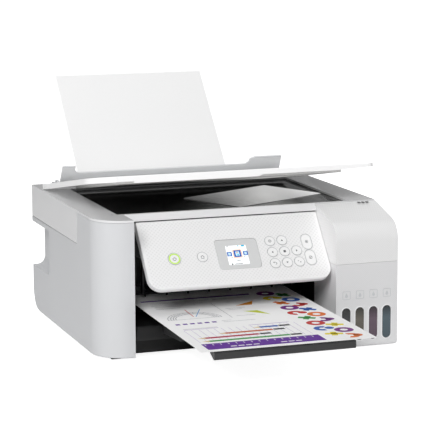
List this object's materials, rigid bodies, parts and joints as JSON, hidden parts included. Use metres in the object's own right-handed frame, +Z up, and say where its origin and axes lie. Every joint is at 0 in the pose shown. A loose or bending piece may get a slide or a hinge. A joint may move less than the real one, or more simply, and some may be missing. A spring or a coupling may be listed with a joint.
{
  "type": "inkjet printer",
  "caption": "Ink-tank all-in-one inkjet printer: flatbed scanner under a hinged lid, tilting control panel, rear sheet feeder, sliding output trays and windowed side tanks.",
  "frame": {"origin": "centre of the whole model's box on the surface it stands on, with the trays out, the sheets loaded and the lid at rest", "axes": "+X to the printer's right seen from the front, +Y to its rear, where sheets are loaded, +Z up; the control panel and the output trays face -Y"},
  "size_m": [0.375, 0.619, 0.3078],
  "materials": {
    "black_abs": "satin black moulding",
    "black_rubber": "matt black rubber",
    "button_white": "smooth white keys with grey rings",
    "charcoal_abs": "satin charcoal moulding",
    "circuit_board": "green solder mask",
    "display_window": "smooth grey window with a colour screen",
    "light_grey_abs": "fine-textured very light grey moulding",
    "mid_grey_abs": "satin light grey moulding",
    "platen_glass": "polished dark glass",
    "tank_black": "smoked clear tank of black ink",
    "tank_cyan": "smoked clear tank of cyan ink",
    "tank_magenta": "smoked clear tank of magenta ink",
    "tank_yellow": "smoked clear tank of yellow ink",
    "textured_white_panel": "white moulding with a fine diamond lattice",
    "white_abs": "fine-textured white moulding",
    "white_paper": "plain white office paper",
    "zinc_plated_steel": "bright zinc plate"
  },
  "bodies": {
    "chassis": {"base_pan": "black_abs", "left_housing": "light_grey_abs", "right_housing": "light_grey_abs", "rear_housing": "light_grey_abs", "foot_front_left": "black_rubber", "foot_front_right": "black_rubber", "tank_housing": "light_grey_abs", "ink_tank_black": "tank_black", "ink_tank_yellow": "tank_yellow", "ink_tank_magenta": "tank_magenta", "ink_tank_cyan": "tank_cyan", "feeder_frame": "mid_grey_abs", "tray_base": "charcoal_abs", "paper_path_frame": "black_abs", "carriage_rail": "zinc_plated_steel", "drive_belt": "black_rubber", "carriage_motor": "zinc_plated_steel", "feed_motor": "zinc_plated_steel", "platen": "black_abs", "maintenance_station": "black_abs", "power_supply": "black_abs", "main_board": "circuit_board"},
    "scanner_unit": {"scanner_bezel": "white_abs", "scanner_tub": "black_abs", "scanner_glass": "platen_glass", "original_sheet": "white_paper"},
    "scan_head": {"scan_carriage": "black_abs"},
    "lid": {"document_lid": "white_abs", "lid_pad": "textured_white_panel"},
    "panel": {"control_panel": "textured_white_panel", "display": "display_window"},
    "first_tray": {"output_tray": "charcoal_abs"},
    "second_tray": {"tray_extension": "charcoal_abs"},
    "guard": {"feed_guard": "mid_grey_abs"},
    "support": {"paper_support": "mid_grey_abs"},
    "guide_left": {"edge_guide_left": "mid_grey_abs"},
    "guide_right": {"edge_guide_right": "mid_grey_abs"},
    "cover": {"tank_cover": "light_grey_abs"},
    "feed_drum": {"feed_roller": "black_rubber"},
    "exit_drum": {"exit_roller": "black_rubber"},
    "print_head": {"print_carriage": "black_abs"},
    "pulley": {"drive_pulley": "zinc_plated_steel"},
    "feed_stack": {"feed_sheets": "white_paper"},
    "print": {"printed_sheet": "white_paper"},
    "cap_black": {"tank_cap_black": "mid_grey_abs"},
    "cap_yellow": {"tank_cap_yellow": "mid_grey_abs"},
    "cap_magenta": {"tank_cap_magenta": "mid_grey_abs"},
    "cap_cyan": {"tank_cap_cyan": "mid_grey_abs"},
    "power_button": {"power_button": "button_white"},
    "home_button": {"home_button": "button_white"},
    "help_button": {"help_button": "button_white"},
    "up_button": {"up_button": "button_white"},
    "left_button": {"left_button": "button_white"},
    "ok_button": {"ok_button": "button_white"},
    "right_button": {"right_button": "button_white"},
    "back_button": {"back_button": "button_white"},
    "down_button": {"down_button": "button_white"},
    "copies_button": {"copies_button": "button_white"},
    "start_button": {"start_button": "button_white"},
    "stop_button": {"stop_button": "button_white"}
  },
  "joints": [
    {"name": "scanner_open", "type": "hinge", "parent": "chassis", "child": "scanner_unit", "pos_m": [0, 0.20422, 0.172], "axis": [-1, 0, 0], "range_deg": [0, 25]},
    {"name": "scan_travel", "type": "slide", "parent": "scanner_unit", "child": "scan_head", "axis": [1, 0, 0], "range_m": [0, 0.268]},
    {"name": "lid_open", "type": "hinge", "parent": "scanner_unit", "child": "lid", "pos_m": [0, 0.16022, 0.1768], "axis": [-1, 0, 0], "range_deg": [-9.8, 50]},
    {"name": "panel_tilt", "type": "hinge", "parent": "chassis", "child": "panel", "pos_m": [0, -0.06958, 0.1527], "axis": [-1, 0, 0], "range_deg": [-34, 6]},
    {"name": "power_button_press", "type": "slide", "parent": "panel", "child": "power_button", "axis": [0, 0.7771, -0.6293], "range_m": [0, 0.0008], "stiffness_N_per_m": 400},
    {"name": "home_button_press", "type": "slide", "parent": "panel", "child": "home_button", "axis": [0, 0.7771, -0.6293], "range_m": [0, 0.0008], "stiffness_N_per_m": 400},
    {"name": "help_button_press", "type": "slide", "parent": "panel", "child": "help_button", "axis": [0, 0.7771, -0.6293], "range_m": [0, 0.0008], "stiffness_N_per_m": 400},
    {"name": "up_button_press", "type": "slide", "parent": "panel", "child": "up_button", "axis": [0, 0.7771, -0.6293], "range_m": [0, 0.0008], "stiffness_N_per_m": 400},
    {"name": "left_button_press", "type": "slide", "parent": "panel", "child": "left_button", "axis": [0, 0.7771, -0.6293], "range_m": [0, 0.0008], "stiffness_N_per_m": 400},
    {"name": "ok_button_press", "type": "slide", "parent": "panel", "child": "ok_button", "axis": [0, 0.7771, -0.6293], "range_m": [0, 0.0008], "stiffness_N_per_m": 400},
    {"name": "right_button_press", "type": "slide", "parent": "panel", "child": "right_button", "axis": [0, 0.7771, -0.6293], "range_m": [0, 0.0008], "stiffness_N_per_m": 400},
    {"name": "back_button_press", "type": "slide", "parent": "panel", "child": "back_button", "axis": [0, 0.7771, -0.6293], "range_m": [0, 0.0008], "stiffness_N_per_m": 400},
    {"name": "down_button_press", "type": "slide", "parent": "panel", "child": "down_button", "axis": [0, 0.7771, -0.6293], "range_m": [0, 0.0008], "stiffness_N_per_m": 400},
    {"name": "copies_button_press", "type": "slide", "parent": "panel", "child": "copies_button", "axis": [0, 0.7771, -0.6293], "range_m": [0, 0.0008], "stiffness_N_per_m": 400},
    {"name": "start_button_press", "type": "slide", "parent": "panel", "child": "start_button", "axis": [0, 0.7771, -0.6293], "range_m": [0, 0.0008], "stiffness_N_per_m": 400},
    {"name": "stop_button_press", "type": "slide", "parent": "panel", "child": "stop_button", "axis": [0, 0.7771, -0.6293], "range_m": [0, 0.0008], "stiffness_N_per_m": 400},
    {"name": "first_tray_slide", "type": "slide", "parent": "chassis", "child": "first_tray", "axis": [0, -0.998, 0.0637], "range_m": [-0.065, 0]},
    {"name": "second_tray_slide", "type": "slide", "parent": "first_tray", "child": "second_tray", "axis": [0, -0.998, 0.0637], "range_m": [-0.116, 0]},
    {"name": "guard_fold", "type": "hinge", "parent": "chassis", "child": "guard", "pos_m": [0, 0.18562, 0.1776], "axis": [-1, 0, 0], "range_deg": [0, 60]},
    {"name": "support_slide", "type": "slide", "parent": "chassis", "child": "support", "axis": [0, 0.6691, 0.7431], "range_m": [-0.088, 0]},
    {"name": "guide_right_slide", "type": "slide", "parent": "chassis", "child": "guide_right", "axis": [1, 0, 0], "range_m": [0, 0.003]},
    {"name": "guide_left_slide", "type": "slide", "parent": "chassis", "child": "guide_left", "axis": [-1, 0, 0], "range_m": [0, 0.003]},
    {"name": "cover_open", "type": "hinge", "parent": "chassis", "child": "cover", "pos_m": [0, -0.06828, 0.1705], "axis": [-1, 0, 0], "range_deg": [0, 75]},
    {"name": "cap_black_open", "type": "hinge", "parent": "chassis", "child": "cap_black", "pos_m": [0.1189, -0.08178, 0.1092], "axis": [-1, 0, 0], "range_deg": [0, 95]},
    {"name": "cap_yellow_open", "type": "hinge", "parent": "chassis", "child": "cap_yellow", "pos_m": [0.1369, -0.08178, 0.1092], "axis": [-1, 0, 0], "range_deg": [0, 95]},
    {"name": "cap_magenta_open", "type": "hinge", "parent": "chassis", "child": "cap_magenta", "pos_m": [0.1549, -0.08178, 0.1092], "axis": [-1, 0, 0], "range_deg": [0, 95]},
    {"name": "cap_cyan_open", "type": "hinge", "parent": "chassis", "child": "cap_cyan", "pos_m": [0.1729, -0.08178, 0.1092], "axis": [-1, 0, 0], "range_deg": [0, 95]},
    {"name": "feed_roller_spin", "type": "hinge", "parent": "chassis", "child": "feed_drum", "pos_m": [-0.0215, 0.10972, 0.1072], "axis": [1, 0, 0], "continuous": true},
    {"name": "exit_roller_spin", "type": "hinge", "parent": "chassis", "child": "exit_drum", "pos_m": [-0.02, -0.02578, 0.0522], "axis": [1, 0, 0], "continuous": true},
    {"name": "print_travel", "type": "slide", "parent": "chassis", "child": "print_head", "axis": [1, 0, 0], "range_m": [-0.248, 0]},
    {"name": "pulley_spin", "type": "hinge", "parent": "chassis", "child": "pulley", "pos_m": [0.16, 0.09222, 0.112], "axis": [0, 1, 0], "continuous": true},
    {"name": "feed_stack_slide", "type": "slide", "parent": "chassis", "child": "feed_stack", "axis": [0, 0.6691, 0.7431], "range_m": [0, 0.1]},
    {"name": "print_slide", "type": "slide", "parent": "chassis", "child": "print", "axis": [0, -0.9999, -0.0145], "range_m": [0, 0.06]}
  ],
  "couplings": [
    {"joint": "exit_roller_spin", "follows": "feed_roller_spin", "ratio": -1.625},
    {"joint": "guide_left_slide", "follows": "guide_right_slide", "ratio": 1},
    {"joint": "pulley_spin", "follows": "print_travel", "rad_per_m": 151.51}
  ]
}
